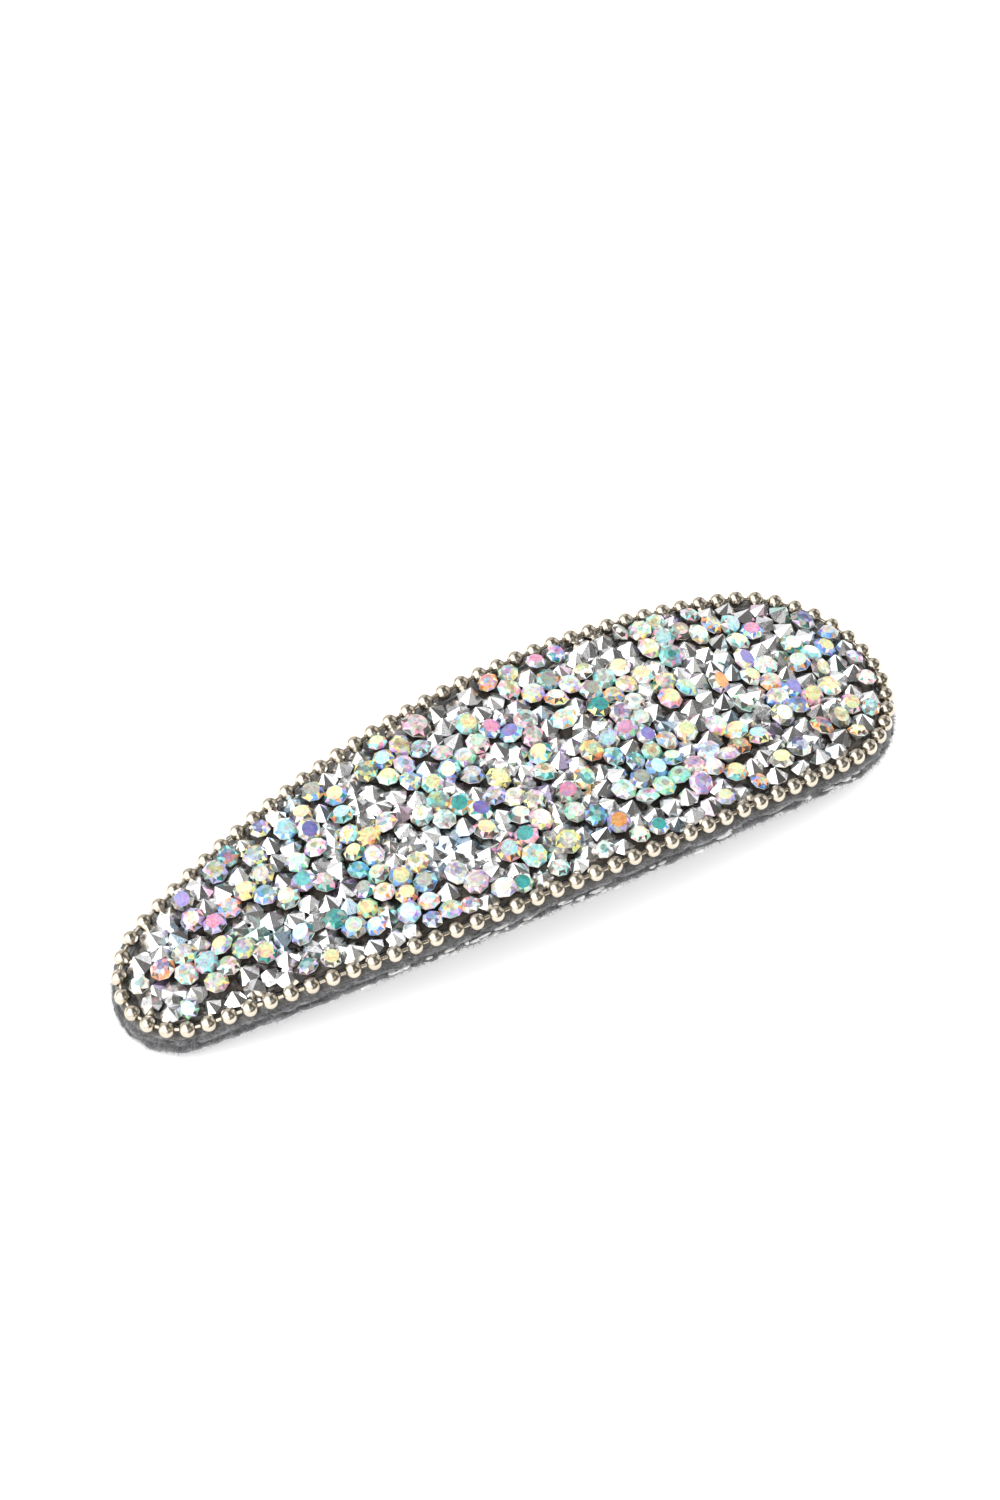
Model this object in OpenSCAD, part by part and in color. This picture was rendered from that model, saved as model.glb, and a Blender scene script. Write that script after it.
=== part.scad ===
// Rhinestone-covered snap hair clip on felt, closed and resting on its two ends.
// Millimetres, +Z up, long axis on X with the narrow end at -X, origin at the middle of the base.

/* [Outline] */
// Length of the bead chain's centre line
chain_length = 80; // [70:1:90]
// Radius of the wide end of the chain's centre line
wide_end_radius = 11.2; // [10.5:0.1:12]
// Radius of the narrow end of the chain's centre line
narrow_end_radius = 6.5; // [6.4:0.1:7.5]
// Radius of the long side arcs of the chain's centre line
side_radius = 155; // [140:5:200]
// Felt width outside the chain's centre line
felt_margin = 0.7; // [0.65:0.05:1]
// Height of the arch under the closed clip
arch_height = 7; // [5:0.5:8]

/* [Felt and glue] */
// Thickness of each felt
felt_thickness = 0.5; // [0.5:0.05:0.8]
// How far the glue film stays inside the felt's edge
glue_setback = 0.6; // [0.4:0.1:0.8]
// Thickness of the adhesive bed under the stones
bed_thickness = 0.4; // [0.2:0.05:0.6]
// Thickness of the glue line under the chain
chain_glue_thickness = 0.12; // [0.1:0.02:0.3]
// Number of squeezed-out glue lumps on the near side
glue_lump_count = 9; // [3:1:14]

/* [Bead chain] */
// Outside diameter of one hollow ball
ball_diameter = 1.6; // [1.4:0.05:1.65]
// Wall of one hollow ball
ball_wall = 0.2; // [0.15:0.05:0.3]
// Diameter of the hole at each end of a ball
ball_hole = 0.5; // [0.45:0.05:0.6]
// Wanted distance between ball centres
ball_pitch = 2.0; // [1.9:0.05:2.3]
// Diameter of the link rod
link_rod = 0.34; // [0.25:0.02:0.4]
// Diameter of the link's knob inside a ball
link_knob = 0.66; // [0.56:0.02:0.8]

/* [Stones] */
// Distance between neighbouring stones before they settle
stone_spacing = 2.0; // [1.9:0.02:2.2]
// Turn of the stone pattern
stone_turn = 17; // [0:1:30]
// Random shift of each stone
stone_shift = 0.24; // [0:0.02:0.3]
// Largest tilt of a stone
stone_tilt = 24; // [0:1:26]
// Share of the stones that are set table up
table_up_share = 0.5; // [0.2:0.02:0.9]
// Diameters of the four stone sizes
stone_sizes = [1.8, 1.9, 2.0, 2.12];

/* [Steel] */
// Thickness of the spring steel
steel = 0.4; // [0.3:0.05:0.5]
// How far the steel frame stays inside the chain's centre line
frame_inset = 2; // [1.5:0.25:2]
// Width of the frame's two limbs
limb_width = 4; // [3:0.25:4]
// Width of the tongue at its root
tongue_root_width = 9; // [7:0.5:9]
// Width of the tongue at its tip
tongue_tip_width = 5; // [4:0.5:6]
// Position of the tongue's tip
tongue_tip_x = -33; // [-34:0.5:-28]
// Position of the line the tongue flexes on
flex_x = 23.2; // [22:0.2:24]
// Free gap between the closed tongue and the lower felt
tongue_gap = 0.3; // [0.3:0.05:0.6]
// Diameter of the rivet shank
rivet_shank = 1.8; // [1.6:0.1:2]
// Diameter of the rivet heads
rivet_head = 2.8; // [2.6:0.1:3]

/* [Hidden] */
skin = 0.02;                 // air between stacked layers
$fn = 48;

half_length = chain_length / 2;
wide_x = half_length - wide_end_radius;
narrow_x = narrow_end_radius - half_length;

// Centre of the long arc on the +Y side: it touches both end circles from outside.
centre_gap = wide_x - narrow_x;
reach_wide = side_radius - wide_end_radius;
reach_narrow = side_radius - narrow_end_radius;
arc_along = (reach_narrow * reach_narrow - reach_wide * reach_wide + centre_gap * centre_gap) / (2 * centre_gap);
arc_x = narrow_x + arc_along;
arc_y = -sqrt(reach_narrow * reach_narrow - arc_along * arc_along);
wide_angle = atan2(-arc_y, wide_x - arc_x);
narrow_angle = atan2(-arc_y, narrow_x - arc_x);

// Arch: every layer is part of a cylinder about one line along Y.
felt_half = half_length + felt_margin;
arch_radius = (felt_half * felt_half + arch_height * arch_height) / (2 * arch_height);
arch_z = arch_height - arch_radius;

lower_felt_r = arch_radius;
film_r = lower_felt_r + felt_thickness;
film_thickness = steel + 2 * skin;
upper_felt_r = film_r + film_thickness;
felt_top_r = upper_felt_r + felt_thickness;
bed_r = felt_top_r + skin;
bed_top_r = bed_r + bed_thickness;
chain_glue_top_r = felt_top_r + skin + chain_glue_thickness;
ball_centre_r = chain_glue_top_r + skin + ball_diameter / 2;
frame_r = film_r + skin;
root_r = frame_r - skin - steel;             // underside of the tongue's riveted root
blade_r = lower_felt_r - tongue_gap - steel; // underside of the closed blade

// ---------- outline ----------
arc_steps = 26;
cap_steps = 22;
function on_side(angle, grow) =
    [arc_x + (side_radius + grow) * cos(angle), arc_y + (side_radius + grow) * sin(angle)];
function on_wide(angle, grow) =
    [wide_x + (wide_end_radius + grow) * cos(angle), (wide_end_radius + grow) * sin(angle)];
function on_narrow(angle, grow) =
    [narrow_x + (narrow_end_radius + grow) * cos(angle), (narrow_end_radius + grow) * sin(angle)];
function upper_half(grow, arcs, caps) = concat(
    [for (i = [0 : caps - 1]) on_wide(wide_angle * i / caps, grow)],
    [for (i = [0 : arcs - 1]) on_side(wide_angle + (narrow_angle - wide_angle) * i / arcs, grow)],
    [for (i = [0 : caps]) on_narrow(narrow_angle + (180 - narrow_angle) * i / caps, grow)]);
function mirrored(points) = [for (i = [len(points) - 2 : -1 : 1]) [points[i][0], -points[i][1]]];
function outline(grow, arcs = arc_steps, caps = cap_steps) =
    let (top = upper_half(grow, arcs, caps)) concat(top, mirrored(top));

module prism(grow) {
    linear_extrude(height = 40, center = true)
        polygon(points = outline(grow));
}

module arch_cylinder(radius, wide = 60) {
    translate([0, 0, arch_z])
        rotate([90, 0, 0])
            cylinder(r = radius, h = wide, center = true, $fn = 200);
}

// One layer of the arch: from a radius up by a thickness, cut to the outline.
module layer(inner, thickness, grow) {
    intersection() {
        difference() {
            arch_cylinder(inner + thickness);
            arch_cylinder(inner, 70);
        }
        prism(grow);
    }
}

// Place children with their Z axis square to the arch at plan position x, y.
module on_arch(x, y, radius) {
    turn = asin(x / radius);
    translate([x, y, arch_z + radius * cos(turn)])
        rotate([0, turn, 0])
            children();
}

// ---------- tongue strip ----------
root_end_x = 33;
root_flat_x = 26;
blade_flat_x = 20.4;
tip_curl = 0.7;
tip_curl_length = 5;
felt_slot_from = 19.2;
felt_slot_to = 34.2;
felt_slot_width = tongue_root_width + 2.4;
rivet_x = 30;
rivet_y = 2.5;
flex_gap = 0.15;
strip_step = 1.1;
function ease(t) = t * t * (3 - 2 * t);
function clamp(v) = min(1, max(0, v));
function strip_low(x) =
    blade_r + (root_r - blade_r) * ease(clamp((x - blade_flat_x) / (root_flat_x - blade_flat_x)))
    - tip_curl * pow(clamp((tongue_tip_x + tip_curl_length - x) / tip_curl_length), 2);
function arch_point(x, radius) = [x * radius / arch_radius,
    arch_z + radius * sqrt(1 - x * x / (arch_radius * arch_radius))];
function stations(from, to) =
    let (count = ceil((to - from) / strip_step)) [for (i = [0 : count]) from + (to - from) * i / count];
function strip_profile(from, to) =
    let (xs = stations(from, to), last = len(xs) - 1) concat(
        [for (i = [0 : last]) arch_point(xs[i], strip_low(xs[i]))],
        [for (i = [last : -1 : 0]) arch_point(xs[i], strip_low(xs[i]) + steel)]);

module strip(from, to) {
    rotate([90, 0, 0])
        linear_extrude(height = 30, center = true)
            polygon(points = strip_profile(from, to));
}

tip_round = tongue_tip_width / 2;
root_corner = 2;
module blade_plan() {
    linear_extrude(height = 60, center = true)
        polygon(points = concat(
            [for (i = [0 : 16]) let (a = 90 + 180 * i / 16)
                [tongue_tip_x + tip_round + tip_round * cos(a), tip_round * sin(a)]],
            [[flex_x + 2, -tongue_root_width / 2], [flex_x + 2, tongue_root_width / 2]]));
}

module root_plan() {
    linear_extrude(height = 60, center = true)
        polygon(points = concat(
            [[flex_x - 2, tongue_root_width / 2], [flex_x - 2, -tongue_root_width / 2]],
            [for (i = [0 : 6]) let (a = -90 + 90 * i / 6)
                [root_end_x - root_corner + root_corner * cos(a),
                 -tongue_root_width / 2 + root_corner + root_corner * sin(a)]],
            [for (i = [0 : 6]) let (a = 90 * i / 6)
                [root_end_x - root_corner + root_corner * cos(a),
                 tongue_root_width / 2 - root_corner + root_corner * sin(a)]]));
}

module rivet_places(radius) {
    for (side = [-1, 1])
        on_arch(rivet_x, side * rivet_y, radius)
            children();
}

module rivet_holes() {
    rivet_places(root_r - skin)
        cylinder(d = rivet_shank + 0.06, h = 8, center = true);
}

// ---------- felts, glue and steel ----------
module upper_felt() {
    color([0.36, 0.36, 0.37])
        difference() {
            layer(upper_felt_r, felt_thickness, felt_margin);
            rivet_places(upper_felt_r)
                cylinder(d = rivet_head + 0.5, h = 0.8, center = true);
        }
}

module lower_felt() {
    slot_long = felt_slot_to - felt_slot_from;
    color([0.33, 0.33, 0.34])
        difference() {
            layer(lower_felt_r, felt_thickness, felt_margin);
            translate([felt_slot_from, -felt_slot_width / 2, -10])
                cube([slot_long, felt_slot_width, 40]);
        }
}

module window_plan(shrink) {
    intersection() {
        prism(-frame_inset - limb_width - shrink);
        translate([-50 + flex_x + 3 - shrink, 0, 0])
            cube([100, 60, 60], center = true);
    }
}

module felt_glue() {
    spare = 0.15;
    color([0.75, 0.74, 0.7])
        difference() {
            layer(film_r + skin, film_thickness - 2 * skin, felt_margin - glue_setback);
            difference() {
                prism(-frame_inset + spare);
                window_plan(spare);
            }
        }
}

module clip_frame() {
    color([0.62, 0.63, 0.65])
        difference() {
            layer(frame_r, steel, -frame_inset);
            window_plan(0);
            rivet_holes();
        }
}

module tongue_root() {
    color([0.62, 0.63, 0.65])
        difference() {
            intersection() {
                strip(flex_x + flex_gap, root_end_x + 1);
                root_plan();
            }
            rivet_holes();
        }
}

module clip_tongue() {
    color([0.66, 0.67, 0.69])
        intersection() {
            strip(tongue_tip_x - 1, flex_x - flex_gap);
            blade_plan();
        }
}

module rivets() {
    grip = 2 * steel + skin;
    head = 0.3;
    color([0.7, 0.7, 0.72])
        rivet_places(root_r - skin)
            difference() {
                union() {
                    translate([0, 0, -head])
                        cylinder(d = rivet_head, h = head);
                    cylinder(d = rivet_shank, h = grip + 2 * skin);
                    translate([0, 0, grip + 2 * skin])
                        cylinder(d = rivet_head, h = head);
                }
                cylinder(d = 0.9, h = 8, center = true);
            }
}

module stone_bed() {
    color([0.3, 0.3, 0.32])
        layer(bed_r, bed_thickness, -ball_diameter / 2 - 0.2);
}

module chain_glue() {
    color([0.8, 0.79, 0.75])
        difference() {
            layer(felt_top_r + skin, chain_glue_thickness, 0.45);
            prism(-0.45);
        }
}

// ---------- bead chain ----------
fine = outline(0, 200, 120);
function ball_level(x) = arch_z + sqrt(ball_centre_r * ball_centre_r - x * x);
fine_3d = [for (p = fine) [p[0], p[1], ball_level(p[0])]];
fine_count = len(fine_3d);
function step_length(i) = norm(fine_3d[(i + 1) % fine_count] - fine_3d[i % fine_count]);
run_length = [for (i = 0, total = 0; i <= fine_count; total = total + step_length(i), i = i + 1) total];
perimeter = run_length[fine_count];
ball_count = round(perimeter / ball_pitch);
real_pitch = perimeter / ball_count;
function at_length(s) =
    let (i = max([for (k = [0 : fine_count - 1]) if (run_length[k] <= s) k]))
    let (t = (s - run_length[i]) / (run_length[i + 1] - run_length[i]))
    fine_3d[i] + t * (fine_3d[(i + 1) % fine_count] - fine_3d[i]);
balls = [for (i = [0 : ball_count - 1]) at_length((i + 0.5) * real_pitch)];

function azimuth(v) = atan2(v[1], v[0]);
function polar(v) = acos(v[2] / norm(v));
module along(v) {
    rotate([0, polar(v), azimuth(v)])
        children();
}

module chain_balls() {
    color([0.86, 0.8, 0.7])
        for (i = [0 : ball_count - 1]) {
            before = balls[(i + ball_count - 1) % ball_count];
            after = balls[(i + 1) % ball_count];
            translate(balls[i])
                along(after - before)
                    difference() {
                        sphere(d = ball_diameter);
                        sphere(d = ball_diameter - 2 * ball_wall);
                        cylinder(d = ball_hole, h = 2 * ball_diameter, center = true);
                    }
        }
}

module chain_links() {
    knob_in = 0.36;
    color([0.8, 0.75, 0.66])
        for (i = [0 : ball_count - 1]) {
            next = balls[(i + 1) % ball_count];
            span = next - balls[i];
            length = norm(span) - 2 * knob_in;
            translate(balls[i] + span * knob_in / norm(span))
                along(span) {
                    cylinder(d = link_rod, h = length);
                    sphere(d = link_knob);
                    translate([0, 0, length])
                        sphere(d = link_knob);
                }
        }
}

// Clear glue squeezed out between the felts along the near (-Y) side.
module glue_beads() {
    sizes = rands(0.24, 0.36, glue_lump_count, 5);
    places = rands(-0.35, 0.35, glue_lump_count, 9);
    color([0.88, 0.88, 0.86])
        for (i = [0 : glue_lump_count - 1]) {
            turn = narrow_angle + (wide_angle - narrow_angle) * (i + 0.5 + places[i]) / glue_lump_count;
            spot = on_side(turn, felt_margin + 0.05);
            on_arch(spot[0], -spot[1], film_r + film_thickness / 2)
                rotate([0, 0, -turn])
                    intersection() {
                        sphere(r = sizes[i]);
                        translate([0, -1, -1])
                            cube([1, 2, 2]);
                    }
        }
}

// ---------- stones ----------
crown_share = 0.38;      // crown height over radius
pavilion_share = 0.95;   // pavilion height over radius
table_share = 0.56;      // table radius over girdle radius
facets = 8;
smallest_radius = stone_sizes[0] / 2;
largest_radius = stone_sizes[3] / 2;
chain_clear = ball_diameter / 2 + 0.08;
edge_row = chain_clear + 1.02;
push_limit = 1.1;
table_up_lift = 0.25;
// Centre distances wanted between stones of one kind, point up or table up, and between the kinds.
wanted = [[2.12, 1.82], [1.82, 2.26]];

function inside(p) =
    let (x = p[0], y = abs(p[1]))
    let (u = x - arc_x, v = y - arc_y)
    ((wide_x - arc_x) * v + arc_y * u < 0) ? wide_end_radius - norm([x - wide_x, y])
    : ((narrow_x - arc_x) * v + arc_y * u > 0) ? narrow_end_radius - norm([x - narrow_x, y])
    : side_radius - norm([u, v]);
function inward(p) =
    let (x = p[0], y = abs(p[1]), side = p[1] < 0 ? -1 : 1)
    let (u = x - arc_x, v = y - arc_y)
    let (to = ((wide_x - arc_x) * v + arc_y * u < 0) ? [wide_x - x, -y]
        : ((narrow_x - arc_x) * v + arc_y * u > 0) ? [narrow_x - x, -y]
        : [-u, -v])
    [to[0], to[1] * side] / max(0.001, norm(to));

row_step = stone_spacing * sqrt(3) / 2;
across = 25;
up = 17;
grid_count = (2 * across + 1) * (2 * up + 1);
shift_x = rands(-1, 1, grid_count, 11);
shift_y = rands(-1, 1, grid_count, 23);
function warp(p) = p + 0.3 * [sin(14 * p[1] + 40), sin(15 * p[0] - 20)];
function turned(p) = [p[0] * cos(stone_turn) - p[1] * sin(stone_turn), p[0] * sin(stone_turn) + p[1] * cos(stone_turn)];
function grid_site(i, j) =
    let (k = (i + across) * (2 * up + 1) + j + up)
    let (x = (i + (j % 2 == 0 ? 0 : 0.5)) * stone_spacing)
    warp(turned([x, j * row_step])) + stone_shift * [shift_x[k], shift_y[k]];
function settled(p) = let (d = inside(p)) d < edge_row ? p + (edge_row - d) * inward(p) : p;

// Sites inside the chain, pushed in to the row beside it.
first_sites = [
    for (i = [-across : across])
        for (j = [-up : up])
            let (p = grid_site(i, j))
            if (inside(p) > edge_row - push_limit) settled(p)];
function patch(p) = 0.5 + 0.25 * sin(23 * p[0] + 11 * p[1]) + 0.25 * sin(31 * p[1] - 17 * p[0] + 70);
pick = rands(0, 1, len(first_sites), 41);
function drawn_kind(i) = 0.72 * pick[i] + 0.28 * patch(first_sites[i]) < table_up_share ? 1 : 0;
first_kinds = [for (i = [0 : len(first_sites) - 1]) drawn_kind(i)];

// Neighbours that sit too close push each other apart a little.
function around(i, list) = [for (k = [0 : len(list) - 1]) if (k != i && norm(list[k] - list[i]) < 3.6) k];
function add(list) = [for (v = list) 1] * list;
function push(i, list, kinds, near) = add([[0, 0], for (k = near[i])
    let (d = norm(list[i] - list[k]), want = wanted[kinds[i]][kinds[k]])
    if (d < want) (list[i] - list[k]) / max(d, 0.05) * (want - d) * 0.4]);
function relaxed(list, kinds, near, times) =
    times == 0 ? list
    : relaxed([for (i = [0 : len(list) - 1]) settled(list[i] + push(i, list, kinds, near))], kinds, near, times - 1);
function kept(list, kinds, near, same, other) = [
    for (i = [0 : len(list) - 1])
        if (len([for (k = near[i])
            if (k < i && norm(list[i] - list[k]) < (kinds[i] == kinds[k] ? same : other)) 1]) == 0) i];

first_near = [for (i = [0 : len(first_sites) - 1]) around(i, first_sites)];
first_kept = kept(first_sites, first_kinds, first_near, 1.5, 1.15);
second_start = [for (i = first_kept) first_sites[i]];
second_kinds = [for (i = first_kept) first_kinds[i]];
second_near = [for (i = [0 : len(second_start) - 1]) around(i, second_start)];
second_sites = relaxed(second_start, second_kinds, second_near, 14);
second_kept = kept(second_sites, second_kinds, second_near, 2 * smallest_radius + 0.04, 1.42);
sites = [for (i = second_kept) second_sites[i]];
kinds = [for (i = second_kept) second_kinds[i]];
near = [for (i = [0 : len(sites) - 1]) around(i, sites)];

function room(i) = min(concat(
    [largest_radius, inside(sites[i]) - chain_clear],
    [for (k = near[i]) let (d = norm(sites[i] - sites[k])) kinds[i] == kinds[k] ? d / 2 - 0.02 : (d + 0.5) / 2]));
function size_class(r) = len([for (s = stone_sizes) if (r >= s / 2) 1]) - 1;
classes = [for (i = [0 : len(sites) - 1]) size_class(room(i))];
radii = [for (c = classes) stone_sizes[max(0, c)] / 2];

// Height of the widest ring above the bed, and the lean that leaves the neighbours clear.
function ring_height(i) =
    kinds[i] == 1 ? table_up_lift + pavilion_share * radii[i] : crown_share * radii[i] + 0.03;
function spare(i) = min(concat([1], [for (k = near[i]) if (kinds[k] != kinds[i])
    norm(sites[i] - sites[k]) - radii[i] - radii[k] + abs(ring_height(i) - ring_height(k)) / pavilion_share]));
function lean_of(i) = asin(max(0, min(sin(stone_tilt) * lean[i], 0.5 * (spare(i) - 0.06) / radii[i])));

spin = rands(0, 360, grid_count, 53);
lean = rands(0.15, 1, grid_count, 61);
lean_to = rands(0, 360, grid_count, 71);
tilts = [for (i = [0 : len(sites) - 1]) lean_of(i)];

// Lean by an angle towards a direction, then sit square to the arch.
function leaned(v, angle, toward) =
    let (c = cos(toward), s = sin(toward))
    let (a = v[0] * c + v[1] * s, b = -v[0] * s + v[1] * c)
    let (a2 = a * cos(angle) + v[2] * sin(angle), w2 = -a * sin(angle) + v[2] * cos(angle))
    [a2 * c - b * s, a2 * s + b * c, w2];
function seated(v, p, radius) =
    let (t = asin(p[0] / radius))
    [p[0] + v[0] * cos(t) + v[2] * sin(t), p[1] + v[1], arch_z + radius * cos(t) - v[0] * sin(t) + v[2] * cos(t)];

// Girdle ring, table ring and culet of one stone about its own base point.
function stone_points(r, n, table_up) =
    let (crown = crown_share * r, pavilion = pavilion_share * r)
    let (girdle_w = table_up ? pavilion : crown)
    let (table_w = table_up ? pavilion + crown : 0)
    let (culet_w = table_up ? 0 : crown + pavilion)
    concat(
        [for (k = [0 : facets - 1]) let (a = spin[n] + 360 * k / facets) [r * cos(a), r * sin(a), girdle_w]],
        [for (k = [0 : facets - 1]) let (a = spin[n] + 360 * k / facets)
            [table_share * r * cos(a), table_share * r * sin(a), table_w]],
        [[0, 0, culet_w]]);
function stone_faces(from, table_up) =
    let (f = facets)
    let (raw = concat(
        [for (k = [0 : f - 1]) [k, (k + 1) % f, 2 * f]],
        [for (k = [0 : f - 1]) [(k + 1) % f, k, f + k, f + (k + 1) % f]],
        [[for (k = [f - 1 : -1 : 0]) f + k]]))
    [for (face = raw) table_up
        ? [for (k = [0 : len(face) - 1]) from + face[k]]
        : [for (k = [len(face) - 1 : -1 : 0]) from + face[k]]];

module stones(class, kind) {
    table_up = kind == 1;
    chosen = [for (i = [0 : len(sites) - 1]) if (classes[i] == class && kinds[i] == kind) i];
    r = stone_sizes[class] / 2;
    count = 2 * facets + 1;
    points = [
        for (i = chosen)
            let (middle = [0, 0, r * (table_up ? pavilion_share : crown_share)])
            let (lift = table_up ? table_up_lift : 0.03 + table_share * r * sin(tilts[i]))
            for (v = stone_points(r, i, table_up))
                seated(leaned(v - middle, tilts[i], lean_to[i]) + middle + [0, 0, lift], sites[i], bed_top_r)];
    faces = [for (m = [0 : len(chosen) - 1]) each stone_faces(m * count, table_up)];
    polyhedron(points = points, faces = faces);
}

module point_stones(class) {
    color([0.82, 0.83, 0.86])
        stones(class, 0);
}

module ab_stones(class) {
    color([0.86, 0.8, 0.9])
        stones(class, 1);
}

upper_felt();
lower_felt();
felt_glue();
clip_frame();
tongue_root();
clip_tongue();
rivets();
stone_bed();
chain_glue();
glue_beads();
chain_balls();
chain_links();
point_stones(0);  // point_stones_tiny
point_stones(1);  // point_stones_small
point_stones(2);  // point_stones_medium
point_stones(3);  // point_stones_large
ab_stones(0);  // ab_stones_tiny
ab_stones(1);  // ab_stones_small
ab_stones(2);  // ab_stones_medium
ab_stones(3);  // ab_stones_large
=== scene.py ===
"""Looks of the rhinestone snap hair clip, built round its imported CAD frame. Metres, +Z up."""

import math
import random

import bmesh
import bpy
import numpy as np
from mathutils import Matrix, Vector, noise

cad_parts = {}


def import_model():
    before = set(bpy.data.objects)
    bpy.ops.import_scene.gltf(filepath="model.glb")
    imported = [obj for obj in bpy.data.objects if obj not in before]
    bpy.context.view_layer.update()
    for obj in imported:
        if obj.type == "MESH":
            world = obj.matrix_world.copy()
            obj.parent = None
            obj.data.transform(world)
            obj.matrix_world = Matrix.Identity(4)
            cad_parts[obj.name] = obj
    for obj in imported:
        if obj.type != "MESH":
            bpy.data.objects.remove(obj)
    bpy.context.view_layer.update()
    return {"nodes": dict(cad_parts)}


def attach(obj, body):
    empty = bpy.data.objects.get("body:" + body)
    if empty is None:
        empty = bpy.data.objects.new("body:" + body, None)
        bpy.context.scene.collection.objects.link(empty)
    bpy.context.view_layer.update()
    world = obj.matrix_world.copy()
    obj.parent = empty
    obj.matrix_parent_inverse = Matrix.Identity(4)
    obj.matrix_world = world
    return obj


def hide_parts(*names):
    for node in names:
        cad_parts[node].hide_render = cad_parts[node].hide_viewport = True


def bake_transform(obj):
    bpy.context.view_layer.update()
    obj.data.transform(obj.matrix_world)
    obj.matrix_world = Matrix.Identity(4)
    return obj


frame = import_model()
NODES = frame["nodes"]
ROOT, TONGUE = "clip", "tongue"
MM = 0.001

# ---------------------------------------------------------------- shape of the clip, as in the CAD
HALF_LENGTH, WIDE_R, NARROW_R, SIDE_R = 40 * MM, 11.2 * MM, 6.5 * MM, 155 * MM
FELT_MARGIN, FELT_T, FILM_T = 0.7 * MM, 0.5 * MM, 0.44 * MM
BALL_R = 0.8 * MM
ARCH_H = 7 * MM
WIDE_X, NARROW_X = HALF_LENGTH - WIDE_R, NARROW_R - HALF_LENGTH
GAP = WIDE_X - NARROW_X
ALONG = ((SIDE_R - NARROW_R) ** 2 - (SIDE_R - WIDE_R) ** 2 + GAP**2) / (2 * GAP)
ARC_X, ARC_Y = NARROW_X + ALONG, -math.sqrt((SIDE_R - NARROW_R) ** 2 - ALONG**2)
FELT_HALF = HALF_LENGTH + FELT_MARGIN
ARCH_R = (FELT_HALF**2 + ARCH_H**2) / (2 * ARCH_H)
ARCH_Z = ARCH_H - ARCH_R
LOWER_R = ARCH_R
UPPER_R = ARCH_R + FELT_T + FILM_T
FELT_TOP_R = UPPER_R + FELT_T
BED_R = FELT_TOP_R + 0.02 * MM
BED_TOP_R = BED_R + 0.4 * MM


def half_width(x, grow):
    """Half width of the outline, grown outward, at station x."""
    side, wide, narrow = SIDE_R + grow, WIDE_R + grow, NARROW_R + grow
    wide_edge = WIDE_X + wide * (WIDE_X - ARC_X) / (SIDE_R - WIDE_R)
    narrow_edge = NARROW_X + narrow * (NARROW_X - ARC_X) / (SIDE_R - NARROW_R)
    if x > wide_edge:
        return math.sqrt(max(0.0, wide**2 - (x - WIDE_X) ** 2))
    if x < narrow_edge:
        return math.sqrt(max(0.0, narrow**2 - (x - NARROW_X) ** 2))
    return math.sqrt(max(0.0, side**2 - (x - ARC_X) ** 2)) + ARC_Y


def arch(x, y, radius):
    """Point of the arch at plan position x, y on the cylinder of that radius."""
    return Vector((x, y, ARCH_Z + math.sqrt(max(0.0, radius**2 - x**2))))


def arch_normal(x):
    """Outward direction of the arch at station x."""
    s = x / ARCH_R
    return Vector((s, 0, math.sqrt(1 - s * s)))


def link(name, mesh, body, replaces=()):
    obj = bpy.data.objects.new(name, mesh)
    bpy.context.scene.collection.objects.link(obj)
    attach(obj, body)
    if replaces:
        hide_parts(*replaces)
    return obj


def make_mesh(name, verts, faces, smooth=False):
    mesh = bpy.data.meshes.new(name)
    mesh.from_pydata([tuple(v) for v in verts], [], faces)
    mesh.validate()
    mesh.update()
    if smooth:
        mesh.shade_smooth()
    return mesh


# ---------------------------------------------------------------- materials
def material(name):
    mat = bpy.data.materials.new(name)
    mat.use_nodes = True
    tree = mat.node_tree
    return mat, tree, tree.nodes["Principled BSDF"]


def node(tree, kind, **settings):
    made = tree.nodes.new(kind)
    for key, value in settings.items():
        if key in made.inputs:
            made.inputs[key].default_value = value
        else:
            setattr(made, key, value)
    return made


def ramp(tree, source, stops):
    made = tree.nodes.new("ShaderNodeValToRGB")
    elements = made.color_ramp.elements
    while len(elements) > 2:
        elements.remove(elements[-1])
    for i, (place, colour) in enumerate(stops):
        e = elements[i] if i < 2 else elements.new(place)
        e.position = place
        e.color = (*colour, 1) if len(colour) == 3 else colour
    tree.links.new(source, made.inputs["Fac"])
    return made.outputs["Color"]


def coords(tree):
    return tree.nodes.new("ShaderNodeTexCoord").outputs["Object"]


def noise_tex(tree, scale, detail=4, rough=0.55, vector=None, distortion=0.0):
    made = node(tree, "ShaderNodeTexNoise",
                Scale=scale, Detail=detail, Roughness=rough, Distortion=distortion)
    tree.links.new(vector or coords(tree), made.inputs["Vector"])
    return made


def bump(tree, height, strength, distance, bsdf):
    made = node(tree, "ShaderNodeBump", Strength=strength, Distance=distance)
    tree.links.new(height, made.inputs["Height"])
    tree.links.new(made.outputs["Normal"], bsdf.inputs["Normal"])


def vary_roughness(tree, source, low, high, bsdf):
    """Roughness between low and high, following the middle of a noise."""
    made = node(tree, "ShaderNodeMapRange", **{"From Min": 0.3, "From Max": 0.7, "To Min": low, "To Max": high})
    tree.links.new(source, made.inputs["Value"])
    tree.links.new(made.outputs["Result"], bsdf.inputs["Roughness"])


def multiply(tree, a, b):
    made = tree.nodes.new("ShaderNodeMix")
    made.data_type, made.blend_type = "RGBA", "MULTIPLY"
    made.inputs["Factor"].default_value = 1.0
    tree.links.new(a, made.inputs["A"])
    tree.links.new(b, made.inputs["B"])
    return made.outputs["Result"]


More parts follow.
